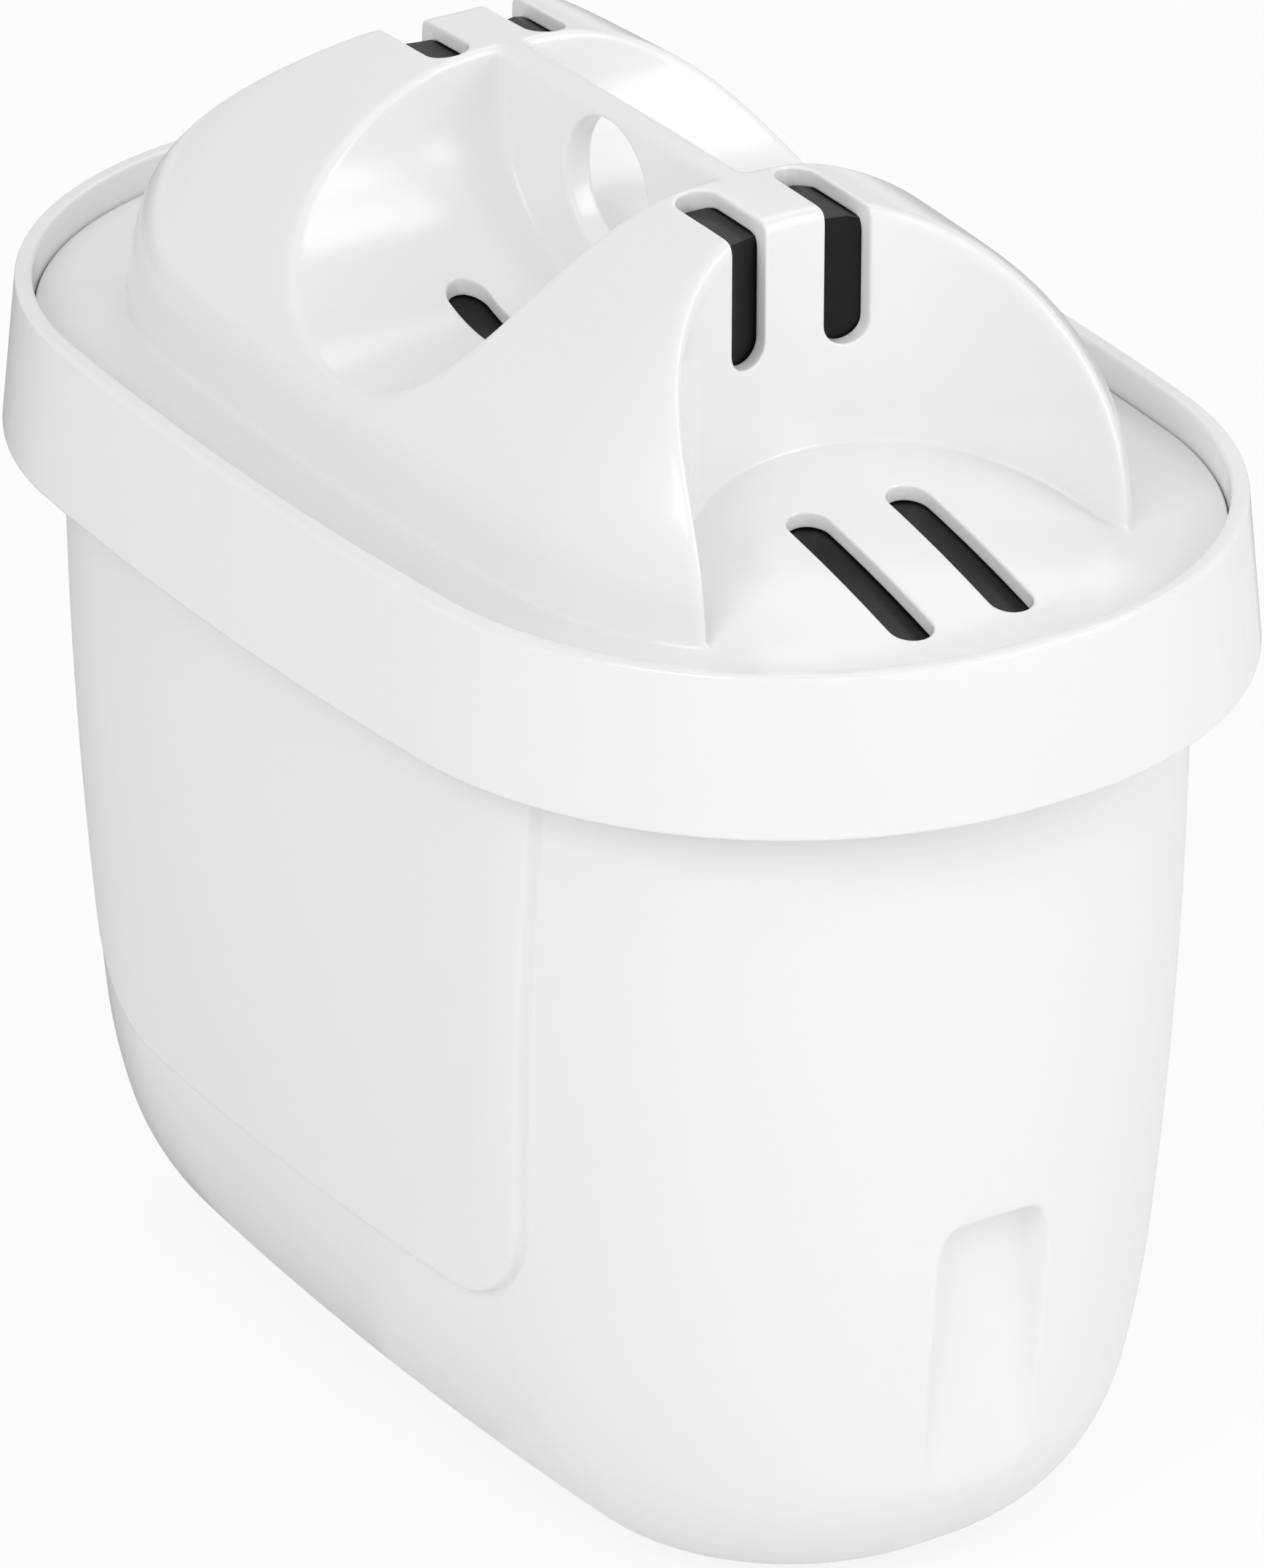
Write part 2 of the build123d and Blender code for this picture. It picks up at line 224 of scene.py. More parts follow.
class CartridgeLid(bpy.types.PropertyGroup):
    """Sizes of the lid."""

    wall: millimetres("Wall", "Thickness of the lid", 1.3)
    gap: millimetres("Gap", "Gap between the lid and the collar", 0.12)
    plate_rise: millimetres("Plate Rise", "Rise of the edge plate towards the body", 0.2)
    plate_edge: millimetres("Plate Edge", "Rounding of the plate's edge", 0.35)
    body_inset: millimetres("Body Inset", "How far the raised body stands in from the rim", 7.8)
    body_foot: millimetres("Body Foot", "Rounding between the body and the plate", 1.0)
    plinth_height: millimetres("Plinth Height", "Height at which the body starts to vault", 80.0)
    shoulder: millimetres("Shoulder", "Rounding between the plinth and the flanks", 4.0)
    vault_radius: millimetres("Vault Radius", "Radius of the body's flanks", 26.6)
    vault_centre: millimetres("Vault Centre", "Height of the flanks' centre line", 74.0)
    crown_height: millimetres("Crown Height", "Height of the body's crown", 100.2)
    crown_radius: millimetres("Crown Radius", "Radius of the crown along the body", 560.0)
    crown_edge: millimetres("Crown Edge", "Rounding between the crown and the flanks", 1.2)
    bay_radius: millimetres("Bay Radius", "Radius of the round end walls", 17.6)
    bay_centre: millimetres("Bay Centre", "Distance of the end walls' axis from the middle", 40.1)
    bay_edge: millimetres("Bay Edge", "Rounding of the end walls' edges", 1.4)
    deck_radius: millimetres("Deck Radius", "Radius of a deck's top along the cartridge", 130.0)
    deck_crest: millimetres("Deck Crest", "Distance of a deck's crest inside the end wall", 14.1)
    deck_height: millimetres("Deck Height", "Height of a deck's crest above the ledge", 6.8)
    deck_margin: millimetres("Deck Margin", "How far a deck reaches past the end wall's sides", 1.0)
    deck_foot: millimetres("Deck Foot", "Rounding between a deck and the end wall", 0.5)
    scoop_radius: millimetres("Scoop Radius", "Radius of the finger scoops", 14.2)
    scoop_centre: millimetres("Scoop Centre", "Height of the scoops' axis", 98.5)
    scoop_edge: millimetres("Scoop Edge", "Rounding of the scoops' edges", 1.0)
    web: millimetres("Web", "Thickness of the web between the scoops", 2.2)
    web_foot: millimetres("Web Foot", "Rounding between the web and the scoops", 1.4)
    hole_radius: millimetres("Hole Radius", "Radius of the hole through the web", 5.3)
    hole_height: millimetres("Hole Height", "Height of the hole's axis", 93.9)
    hole_edge: millimetres("Hole Edge", "Rounding of the hole's edges", 0.7)
    slot_width: millimetres("Slot Width", "Width of the inlet slots", 3.3)
    slot_edge: millimetres("Slot Edge", "Rounding of the slots' edges", 0.35)
    leg_row: millimetres("Leg Row", "Distance of the angled slots from the middle", 4.15)
    leg_start: millimetres("Leg Start", "Distance of the angled slots from the scoop", 0.8)
    leg_drop: millimetres("Leg Drop", "How far the angled slots reach down the end wall", 11.0)
    deck_row: millimetres("Deck Row", "Distance of the deck slots from the middle", 4.2)
    deck_start: millimetres("Deck Start", "Distance of the deck slots from the end wall", 6.8)
    deck_length: millimetres("Deck Length", "Length of the deck slots", 15.7)
    scoop_row: millimetres("Scoop Row", "Distance of the scoop slots from the middle", 9.2)
    scoop_reach: millimetres("Scoop Reach", "Half length of the scoop slots", 7.2)


class CartridgeFinish(bpy.types.PropertyGroup):
    """Colours of the cartridge, of the floor, and of the glowing cards whose painted reflection darkens its
    gloss at the edges.
    """

    shell: shade("Shell", "White polypropylene", (0.86, 0.86, 0.86, 1.0))
    mesh: shade("Mesh", "Dark mesh behind the slots", (0.006, 0.006, 0.006, 1.0))
    media: shade("Media", "Filter granules", (0.05, 0.035, 0.025, 1.0))
    floor: shade("Floor", "Floor", (0.9, 0.9, 0.9, 1.0))
    # Greys that the cards glow with in reflections alone: painted reflection that shades the white edges
    # into a grey contour
    pale_card: shade("Pale Card", "Card around the near end", (0.76, 0.76, 0.76, 1.0))
    front_card: shade("Front Card", "Card in front of the long side's near half", (0.68, 0.68, 0.68, 1.0))
    side_card: shade("Side Card", "Card in front of the long side's far half", (0.53, 0.53, 0.53, 1.0))
    grey_card: shade("Grey Card", "Card behind the far end", (0.28, 0.28, 0.28, 1.0))


class CartridgeLight(bpy.types.PropertyGroup):
    """Strength of the studio's lights."""

    sky: bpy.props.FloatProperty(
        name="Sky", description="Strength of the even light", default=0.65, min=0.0)
    front_box: watts("Front Box", "Soft box in front of the long side", 4.3)
    end_box: watts("End Box", "Soft box past the near end", 2.2)
    side_box: watts("Side Box", "Soft box in front of the near end", 0.75)
    low_strip: watts("Low Strip", "Low soft box past the near end", 2.0)
    far_box: watts("Far Box", "Soft box behind the cartridge", 1.1)
    scoop_gloss: watts("Scoop Gloss", "Box that only the scoops' gloss shows", 5.0)


GROUPS = {
    CartridgeOutline: "cartridge_outline",
    CartridgeCup: "cartridge_cup",
    CartridgeLid: "cartridge_lid",
    CartridgeFinish: "cartridge_finish",
    CartridgeLight: "cartridge_light",
}
SIZED = {"Outline": CartridgeOutline, "Cup": CartridgeCup, "Lid": CartridgeLid}


def add_node(tree, kind, inputs=None, **settings):
    """Adds a node with its settings and feeds its inputs, given by name or number."""
    node = tree.nodes.new(kind)
    for key, value in settings.items():
        setattr(node, key, value)
    for key, value in (inputs or {}).items():
        if isinstance(value, Sum):
            value = value.socket
        if isinstance(value, bpy.types.NodeSocket):
            tree.links.new(value, node.inputs[key])
        else:
            node.inputs[key].default_value = value
    return node


class Sum:
    """A number worked out in a tree, written with plain arithmetic."""

    def __init__(self, tree, socket):
        self.tree = tree
        self.socket = socket

    def work(self, operation, *values):
        """A sum of numbers, in the order given."""
        made = add_node(self.tree, "ShaderNodeMath", dict(enumerate(values)), operation=operation)
        return Sum(self.tree, made.outputs[0])

    def __add__(self, other):
        return self.work("ADD", self, other)

    def __sub__(self, other):
        return self.work("SUBTRACT", self, other)

    def __rsub__(self, other):
        return self.work("SUBTRACT", other, self)

    def __mul__(self, other):
        return self.work("MULTIPLY", self, other)

    def __truediv__(self, other):
        return self.work("DIVIDE", self, other)

    def __rtruediv__(self, other):
        return self.work("DIVIDE", other, self)

    def __mod__(self, other):
        return self.work("MODULO", self, other)

    def __neg__(self):
        return self.work("MULTIPLY", self, -1.0)

    def __abs__(self):
        return self.work("ABSOLUTE", self)

    __rmul__ = __mul__

    def over(self, low):
        """The number, or a lower bound where it is less."""
        return self.work("MAXIMUM", self, low)

    def under(self, high):
        """The number, or an upper bound where it is more."""
        return self.work("MINIMUM", self, high)

    def root(self):
        """Its square root, or nought below nought."""
        return self.work("SQRT", self.over(0.0))

    def power(self, exponent):
        """Its power, or nought below nought."""
        return self.work("POWER", self.over(0.0), exponent)

    def common(self, other, edge):
        """What two forms share, with a rounded edge."""
        return self.work("SMOOTH_MAX", self, other, edge)

    def joined(self, other, edge):
        """Two forms as one, with a rounded inner corner."""
        return self.work("SMOOTH_MIN", self, other, edge)

    def without(self, other, edge):
        """This form with another cut from it, its edge rounded."""
        return self.common(-other, edge)


def length(a, b):
    """Distance from its two parts."""
    return (a * a + b * b).root()


def pick(test, yes, no):
    """One number where the test is above nought, else another."""
    above = test.work("GREATER_THAN", test, 0.0)
    chosen = add_node(test.tree, "GeometryNodeSwitch", {"Switch": above}, input_type="FLOAT")
    for name, value in (("True", yes), ("False", no)):
        test.tree.links.new(value.socket, chosen.inputs[name])
    return Sum(test.tree, chosen.outputs[0])


def size_names():
    """The name that each size has as a tree's input, with its group and key."""
    for title, group in SIZED.items():
        for key in group.__annotations__:
            yield title + " " + group.bl_rna.properties[key].name, group, key


def size_values(scene):
    """Every size of the scene, by the name of its input."""
    return {name: getattr(getattr(scene, GROUPS[group]), key) for name, group, key in size_names()}


class Tree:
    """A tree of Geometry Nodes whose named inputs are the cartridge's sizes."""

    def __init__(self, scene, name, takes, gives):
        self.graph = bpy.data.node_groups.new(name, "GeometryNodeTree")
        face = self.graph.interface
        for label, kind in takes.items():
            face.new_socket(label, in_out="INPUT", socket_type=kind)
        for label, value in size_values(scene).items():
            item = face.new_socket(label, in_out="INPUT", socket_type="NodeSocketFloat")
            item.default_value = value
        for label, kind in gives.items():
            face.new_socket(label, in_out="OUTPUT", socket_type=kind)
        self.start = self.graph.nodes.new("NodeGroupInput")
        self.end = self.graph.nodes.new("NodeGroupOutput")

    def add(self, kind, inputs=None, **settings):
        """Adds a node."""
        return add_node(self.graph, kind, inputs, **settings)

    def given(self, name):
        """An input of the tree as a number."""
        return Sum(self.graph, self.start.outputs[name])

    def vector(self, operation, first, second=None, scale=None):
        """One vector sum."""
        inputs = {0: first}
        if second is not None:
            inputs[1] = second
        if scale is not None:
            inputs["Scale"] = scale
        node = self.add("ShaderNodeVectorMath", inputs, operation=operation)
        return node.outputs["Value"] if operation == "DOT_PRODUCT" else node.outputs[0]

    def place(self):
        """The point's place in millimetres."""
        point = self.add("GeometryNodeInputPosition").outputs[0]
        return self.vector("SCALE", point, scale=1 / MM)

    def distance(self, form, place):
        """The form's distance at a place, with this tree's sizes."""
        node = self.add("GeometryNodeGroup", node_tree=form.graph)
        self.graph.links.new(place, node.inputs["Place"])
        for name, *_ in size_names():
            self.graph.links.new(self.start.outputs[name], node.inputs[name])
        return Sum(self.graph, node.outputs[0])

    def slope(self, form, place):
        """The form's gradient at a place, from its distance a short step to each side."""
        changes = []
        for axis in range(3):
            offset = tuple(SLOPE_STEP if i == axis else 0.0 for i in range(3))
            ahead = self.distance(form, self.vector("ADD", place, offset))
            behind = self.distance(form, self.vector("SUBTRACT", place, offset))
            changes.append(ahead - behind)
        joined = self.add("ShaderNodeCombineXYZ", dict(enumerate(changes)))
        return self.vector("SCALE", joined.outputs[0], scale=0.5 / SLOPE_STEP)


class Sizes:
    """One group's sizes, as the inputs of a tree."""

    def __init__(self, tree, title):
        for key in SIZED[title].__annotations__:
            label = title + " " + SIZED[title].bl_rna.properties[key].name
            setattr(self, key, tree.given(label))


class Form(Tree):
    """A closed form, given as the distance from its surface in millimetres."""

    def __init__(self, scene, name):
        super().__init__(scene, name, {"Place": "NodeSocketVector"}, {"Distance": "NodeSocketFloat"})
        parts = self.add("ShaderNodeSeparateXYZ", {0: self.start.outputs["Place"]})
        self.x, self.y, self.z = (Sum(self.graph, socket) for socket in parts.outputs)

    def sizes(self):
        """The sizes of the outline, the cup and the lid."""
        return [Sizes(self, title) for title in SIZED]

    def close(self, distance):
        """Ends the form with its distance."""
        self.graph.links.new(distance.socket, self.end.inputs[0])
        return self


def oval(outline, x, y, end_inset, side_inset):
    """Distance outside the oval, drawn in at its ends and sides; x and y are folded to one quarter."""
    end = outline.half_length - end_inset
    side = outline.half_width - side_inset
    corner = side - outline.end_flat - outline.side_bow
    centre = end - corner
    crest = side - outline.end_flat
    flank = (centre * centre + crest * crest - corner * corner) / (2 * outline.side_bow)
    foot = side - flank
    from_flank = length(x, y - foot) - flank
    from_corner = length(x - centre, y - outline.end_flat) - corner
    from_end = x - end
    turn = centre * (y - outline.end_flat) - (outline.end_flat - foot) * (x - centre)
    bent = pick(turn, from_flank, from_corner)
    level = pick(outline.end_flat - y, from_end.over(from_flank), bent)
    return pick(centre - x, from_flank.over(from_end), level)


def rounded_corner(first, second, radius):
    """What two flat forms share, with a corner of a true radius."""
    inner = (first.over(second) + radius).under(0.0)
    return inner + length((first + radius).over(0.0), (second + radius).over(0.0)) - radius


def capsule(along, across, start, end, width):
    """Slot with rounded ends between two places along a line."""
    radius = width / 2
    past = (start + radius - along).over(along - (end - radius)).over(0.0)
    return length(past, across) - radius


def surface_tree(scene, form):
    """Fills a form with voxels and draws its surface."""
    takes = {"Geometry": "NodeSocketGeometry", "Low Corner": "NodeSocketVector",
             "High Corner": "NodeSocketVector", "Voxel": "NodeSocketFloat",
             "Material": "NodeSocketMaterial"}
    tree = Tree(scene, form.graph.name + " surface", takes, {"Geometry": "NodeSocketGeometry"})
    low, high = tree.start.outputs["Low Corner"], tree.start.outputs["High Corner"]
    count = tree.vector("SUBTRACT", high, low)
    count = tree.vector("SCALE", count, scale=1 / tree.given("Voxel"))
    counts = tree.add("ShaderNodeSeparateXYZ", {0: count})
    inputs = {"Min": tree.vector("SCALE", low, scale=MM), "Max": tree.vector("SCALE", high, scale=MM)}
    for axis in "XYZ":
        inputs["Resolution " + axis] = counts.outputs[axis]
    inputs["Density"] = -tree.distance(form, tree.place())
    inputs["Background"] = -1.0
    cube = tree.add("GeometryNodeVolumeCube", inputs)
    skin = tree.add("GeometryNodeVolumeToMesh", {"Volume": cube.outputs[0], "Threshold": 0.0})
    finish_tree(tree, skin.outputs[0])
    return tree


def seating_tree(scene, form):
    """Moves each point onto the form's surface in a few steps and keeps the form's own normal."""
    takes = {"Geometry": "NodeSocketGeometry", "Voxel": "NodeSocketFloat",
             "Material": "NodeSocketMaterial"}
    tree = Tree(scene, form.graph.name + " seating", takes, {"Geometry": "NodeSocketGeometry"})
    voxel = tree.given("Voxel")
    geometry = tree.start.outputs["Geometry"]
    for step in range(SEATING_STEPS):
        place = tree.place()
        slope = tree.slope(form, place)
        steep = Sum(tree.graph, tree.vector("DOT_PRODUCT", slope, slope))
        share = (tree.distance(form, place) / steep).over(-voxel).under(voxel)
        move = tree.vector("SCALE", slope, scale=share * -MM)
        seat = tree.add("GeometryNodeSetPosition", {"Geometry": geometry, "Offset": move})
        geometry = seat.outputs[0]
    facing = tree.vector("NORMALIZE", tree.slope(form, tree.place()))
    kept = tree.add("GeometryNodeStoreNamedAttribute",
                    {"Geometry": geometry, "Name": FACING}, data_type="FLOAT_VECTOR", domain="POINT")
    tree.graph.links.new(facing, kept.inputs["Value"])
    finish_tree(tree, kept.outputs[0])
    return tree


def finish_tree(tree, geometry):
    """Ends a tree with plain geometry in its material."""
    real = tree.add("GeometryNodeRealizeInstances", {0: geometry})
    finish = tree.add("GeometryNodeSetMaterial",
                      {"Geometry": real.outputs[0], "Material": tree.start.outputs["Material"]})
    tree.graph.links.new(finish.outputs[0], tree.end.inputs[0])


def node_modifier(piece, name, tree, values):
    """Adds a tree to an object, with its inputs set by their sockets' identifiers."""
    modifier = piece.modifiers.new(name, "NODES")
    modifier.node_group = tree.graph
    for item in tree.graph.interface.items_tree:
        if item.in_out == "INPUT" and item.name in values:
            modifier[item.identifier] = values[item.name]
    return modifier


def build_body(scene, form, box, voxel, triangles):
    """Turns a form into a plain mesh object of about so many triangles."""
    name = form.graph.name
    material = shell_material(scene)
    values = {"Low Corner": box[0], "High Corner": box[1], "Voxel": voxel, "Material": material}
    values.update(size_values(scene))
    seating = seating_tree(scene, form)
    work = bpy.data.objects.new(name + "_work", bpy.data.meshes.new(name))
    scene.collection.objects.link(work)
    node_modifier(work, "Surface", surface_tree(scene, form), values)
    node_modifier(work, "First Seating", seating, values)
    graph = bpy.context.evaluated_depsgraph_get()
    dense = bpy.data.meshes.new_from_object(work.evaluated_get(graph))
    count = sum(len(p.vertices) - 2 for p in dense.polygons)
    work.modifiers.clear()
    work.data = dense
    thin = work.modifiers.new("Thin", "DECIMATE")
    thin.ratio = min(1.0, triangles / count)
    node_modifier(work, "Last Seating", seating, values)
    for fine_round in range(FINE_ROUNDS):
        graph = bpy.context.evaluated_depsgraph_get()
        mesh = bpy.data.meshes.new_from_object(work.evaluated_get(graph))
        work.modifiers.clear()
        halve_bent_edges(mesh)
        work.data = mesh
        node_modifier(work, "Fine Seating", seating, values)
    graph = bpy.context.evaluated_depsgraph_get()
    mesh = bpy.data.meshes.new_from_object(work.evaluated_get(graph))
    bpy.data.objects.remove(work)
    mesh.name = name
    shade_by_form(mesh)
    piece = bpy.data.objects.new(name, mesh)
    scene.collection.objects.link(piece)
    return piece


def halve_bent_edges(mesh):
    """Halves each edge across which the form turns, so that rounded edges come out even."""
    work = bmesh.new()
    work.from_mesh(mesh)
    facing = work.verts.layers.float_vector[FACING]
    level = math.cos(math.radians(FINE_TURN))
    bent = []
    for edge in work.edges:
        first, second = edge.verts
        if first[facing].dot(second[facing]) < level and edge.calc_length() > FINE_LENGTH * MM:
            bent.append(edge)
    bmesh.ops.subdivide_edges(work, edges=bent, cuts=1)
    bmesh.ops.triangulate(work, faces=work.faces)
    work.to_mesh(mesh)
    work.free()


def shade_by_form(mesh):
    """Smooth corners take the form's own normal; a face that meets a sharp edge keeps its flat one."""
    facing = np.empty(len(mesh.vertices) * 3, dtype=np.float32)
    mesh.attributes[FACING].data.foreach_get("vector", facing)
    mesh.attributes.remove(mesh.attributes[FACING])
    flat = np.empty(len(mesh.polygons) * 3, dtype=np.float32)
    mesh.polygon_normals.foreach_get("vector", flat)
    corners = np.empty(len(mesh.loops), dtype=np.int32)
    mesh.loops.foreach_get("vertex_index", corners)
    counts = np.empty(len(mesh.polygons), dtype=np.int32)
    mesh.polygons.foreach_get("loop_total", counts)
    smooth = facing.reshape(-1, 3)[corners]
    flat = np.repeat(flat.reshape(-1, 3), counts, axis=0)
    sharp = (smooth * flat).sum(axis=1) < math.cos(math.radians(SHARP_TURN))
    smooth[sharp] = flat[sharp]
    mesh.polygons.foreach_set("use_smooth", np.ones(len(mesh.polygons), dtype=bool))
    mesh.normals_split_custom_set(smooth)


def lid_form(scene):
    """The lid: edge plate, vaulted shell, end bays, decks, scoops, web and slots."""
    form = Form(scene, "lid_shell")
    outline, cup, lid = form.sizes()
    x, y, z = abs(form.x), abs(form.y), form.z
    rim = oval(outline, x, y, 0.0, 0.0)

    inward = -rim - lid.body_inset
    rise = lid.plinth_height - lid.vault_centre
    spread = (lid.vault_radius * lid.vault_radius - rise * rise).root()
    flank = length((spread - inward).over(0.0), z - lid.vault_centre) - lid.vault_radius
    crown = length(x, z - (lid.crown_height - lid.crown_radius)) - lid.crown_radius
    vault = (-inward).common(flank, lid.shoulder).common(crown, lid.crown_edge)
    bay = length((x - lid.bay_centre).under(0.0), y) - lid.bay_radius
    walled = vault.without(bay, lid.bay_edge)

    deck_base = cup.ledge_height - lid.wall
    bay_wall = lid.bay_centre - lid.bay_radius
    along = x - (bay_wall - lid.deck_crest)
    fall = lid.deck_radius - (lid.deck_radius * lid.deck_radius - along * along).root()
    tall = (cup.ledge_height + lid.deck_height - deck_base - fall).over(DECK_LEAST)
    beyond = (x - lid.bay_centre).over(0.0)
    wide = (lid.bay_radius * lid.bay_radius - beyond * beyond).root() + lid.deck_margin
    bulge = (y / wide).power(DECK_FULLNESS) + ((z - deck_base) / tall).power(DECK_FULLNESS)
    deck = (bulge.power(1 / DECK_FULLNESS) - 1.0) * tall
    raised = walled.joined(deck, lid.deck_foot)

    scoop = length(x, (z - lid.scoop_centre).under(0.0)) - lid.scoop_radius
    scoops = scoop.common(lid.web / 2 - y, lid.web_foot)
    outer = raised.without(scoops, lid.scoop_edge)
    inner = raised.without(scoop, lid.scoop_edge) + lid.wall

    edge = cup.wall + lid.gap
    climb = ((-rim - edge) / (lid.body_inset - edge)).over(0.0).under(1.0)
    top = cup.ledge_height + lid.wall + lid.plate_rise * climb
    plate = (rim + edge).common(z - top, lid.plate_edge)
    shell = plate.joined(outer, lid.body_foot).common(cup.ledge_height - z, lid.plate_edge)
    shell = shell.without(inner, lid.plate_edge)

    width = lid.slot_width
    across = y - lid.leg_row
    far = 2 * outline.half_length
    top_leg = capsule(x, across, lid.scoop_radius + lid.leg_start, far, width)
    top_leg = top_leg.over(lid.crown_height - 2 * lid.wall - z)
    wall_leg = capsule(z, across, lid.crown_height - lid.leg_drop, far, width)
    wall_leg = wall_leg.over(bay_wall - 2 * lid.wall - x)
    start = bay_wall + lid.deck_start
    deck_slot = capsule(x, y - lid.deck_row, start, start + lid.deck_length, width)
    scoop_slot = capsule(x, y - lid.scoop_row, -lid.scoop_reach, lid.scoop_reach, width)
    slots = top_leg.under(wall_leg).under(deck_slot).under(scoop_slot)
    hole = (length(x, z - lid.hole_height) - lid.hole_radius).over(y - 2 * lid.web)
    return form.close(shell.without(slots, lid.slot_edge).without(hole, lid.hole_edge))


def cup_form(scene):
    """The cup: wall, pads, collar, recesses and outlet."""
    form = Form(scene, "cup_shell")
    outline, cup = form.sizes()[:2]
    x, y, z = abs(form.x), abs(form.y), form.z
    rim = oval(outline, x, y, 0.0, 0.0)
    drop = (cup.upright - z).over(0.0)
    inset = drop * drop / (2 * cup.bow_radius) + cup.inset

    def pull(tall, deep, fullness, depth):
        """How far the foot's curve draws in, a depth below the outer face."""
        share = ((tall - z) / (tall - depth)).over(0.0).under(1.0)
        return (1.0 - (1.0 - share.power(fullness)).power(1 / fullness)) * (deep - depth)

    def wall(depth):
        """The tapered wall, a depth below its outer face."""
        ends = pull(cup.end_foot_height, cup.end_foot_depth, cup.end_foot_fullness, depth)
        sides = pull(cup.side_foot_height, cup.side_foot_depth, cup.side_foot_fullness, depth)
        return oval(outline, x, y, inset + ends + depth, inset + sides + depth)

    taper = (cup.pad_half_width - cup.pad_foot) / (cup.ledge_height - cup.pad_bottom)
    outer = wall(0.0).over(-z)
    draft = (outer - cup.pad_rise) * cup.pad_draft
    side = x - cup.pad_half_width + (cup.ledge_height - z) * taper + draft
    region = rounded_corner(side, cup.pad_bottom - z + draft, cup.pad_corner)
    pad = (outer - cup.pad_rise).common(region, cup.pad_edge)
    outer = outer.joined(pad, cup.pad_edge).over(z - cup.ledge_height)

    lean = cup.collar_flare / cup.collar_height
    skirt = rim - (cup.rim_height - z) * lean
    collar = skirt.common(z - cup.rim_height, cup.collar_edge)
    collar = collar.common(cup.rim_height - cup.collar_height - z, cup.collar_edge)
    channel = (skirt + cup.wall).over(z - (cup.ledge_height - cup.ledge_thickness))
    pocket = (rim + cup.wall).over(cup.ledge_height - z)
    collar = collar.without(channel, cup.collar_edge).without(pocket, cup.collar_edge)

    def recess(depth):
        """The recess's cutter, grown by a depth."""
        sunk = x - (cup.recess_floor - depth)
        slope = cup.recess_draft * sunk
        top = cup.recess_top + depth
        half = (top - z) * (cup.recess_spread / (top + cup.wall)) + cup.recess_width + depth + slope
        walls = (y - half).common(z - top - slope, cup.recess_corner)
        return walls.common(-sunk, cup.recess_fillet)

    cavity = wall(cup.wall).over(cup.base - z).over(-recess(cup.wall))
    cupped = collar.joined(outer, cup.collar_edge).without(cavity, cup.collar_edge)
    cupped = cupped.without(recess(0.0), cup.recess_edge)
    tray_x = x - (cup.tray_half_length - cup.tray_corner)
    tray_y = y - (cup.tray_half_width - cup.tray_corner)
    tray = length(tray_x.over(0.0), tray_y.over(0.0)) - cup.tray_corner
    cupped = cupped.without(tray.over(z - cup.tray_depth), cup.collar_edge)
    pitch = cup.outlet_pitch
    nearest = abs((x + pitch / 2) % pitch - pitch / 2)
    outlet = capsule(y, nearest, -cup.outlet_half_length, cup.outlet_half_length, cup.outlet_width)
    outlet = outlet.over(z - 2 * cup.base).over(x - cup.outlet_reach)
    return form.close(cupped.without(outlet, cup.collar_edge))


def plain_material(name, colour, roughness):
    """A new material, its shader and its tree."""
    material = bpy.data.materials.new(name)
    material.use_nodes = True
    shader = material.node_tree.nodes["Principled BSDF"]
    shader.inputs["Base Color"].default_value = colour
    shader.inputs["Roughness"].default_value = roughness
    return material, shader, material.node_tree


def white_plastic(colour):
    """Glossy moulded polypropylene with a faint waviness and soft changes of gloss."""
    smooth, dull = PLASTIC_ROUGHNESS
    material, shader, tree = plain_material("White Polypropylene", colour, (smooth + dull) / 2)
    shader.inputs["IOR"].default_value = PLASTIC_IOR
    place = add_node(tree, "ShaderNodeTexCoord").outputs["Object"]
    wave = add_node(tree, "ShaderNodeTexNoise", {"Vector": place, "Scale": WAVE_SCALE, "Detail": 2.0})
    height = wave.outputs["Fac"]
    bump = add_node(tree, "ShaderNodeBump",
                    {"Height": height, "Strength": WAVE_STRENGTH, "Distance": WAVE_DISTANCE})
    gloss = add_node(tree, "ShaderNodeMapRange", {"Value": height, "To Min": smooth, "To Max": dull})
    tree.links.new(bump.outputs["Normal"], shader.inputs["Normal"])
    tree.links.new(gloss.outputs["Result"], shader.inputs["Roughness"])
    return material


def dark_mesh(colour):
    """Fine black woven mesh, so fine that it looks nearly smooth."""
    material, shader, tree = plain_material("Black Mesh", colour, MESH_ROUGHNESS)
    shader.inputs["Specular IOR Level"].default_value = MESH_SPECULAR
    place = add_node(tree, "ShaderNodeTexCoord").outputs["Object"]
    threads = [
        add_node(tree, "ShaderNodeTexWave", {"Vector": place, "Scale": THREAD_SCALE},
                 bands_direction=axis)
        for axis in ("X", "Y")]
    heights = {i: thread.outputs["Fac"] for i, thread in enumerate(threads)}
    weave = add_node(tree, "ShaderNodeMath", heights, operation="MAXIMUM")
    bump = add_node(tree, "ShaderNodeBump", {
        "Height": weave.outputs[0], "Strength": THREAD_STRENGTH, "Distance": THREAD_DISTANCE})
    tree.links.new(bump.outputs["Normal"], shader.inputs["Normal"])
    return material


def granules(colour):
    """Dark filter granules."""
    material, shader, tree = plain_material("Filter Granules", colour, GRAIN_ROUGHNESS)
    place = add_node(tree, "ShaderNodeTexCoord").outputs["Object"]
    grain = add_node(tree, "ShaderNodeTexVoronoi", {"Vector": place, "Scale": GRAIN_SCALE})
    bump = add_node(tree, "ShaderNodeBump",
                    {"Height": grain.outputs["Distance"], "Distance": GRAIN_DISTANCE})
    tree.links.new(bump.outputs["Normal"], shader.inputs["Normal"])
    return material


def shell_material(scene):
    """The white plastic, made once."""
    found = bpy.data.materials.get("White Polypropylene")
    return found or white_plastic(scene.cartridge_finish.shell)


def dress(node, material):
    """Gives a CAD node its material."""
    piece = frame["nodes"][node]
    piece.data.materials.clear()
    piece.data.materials.append(material)


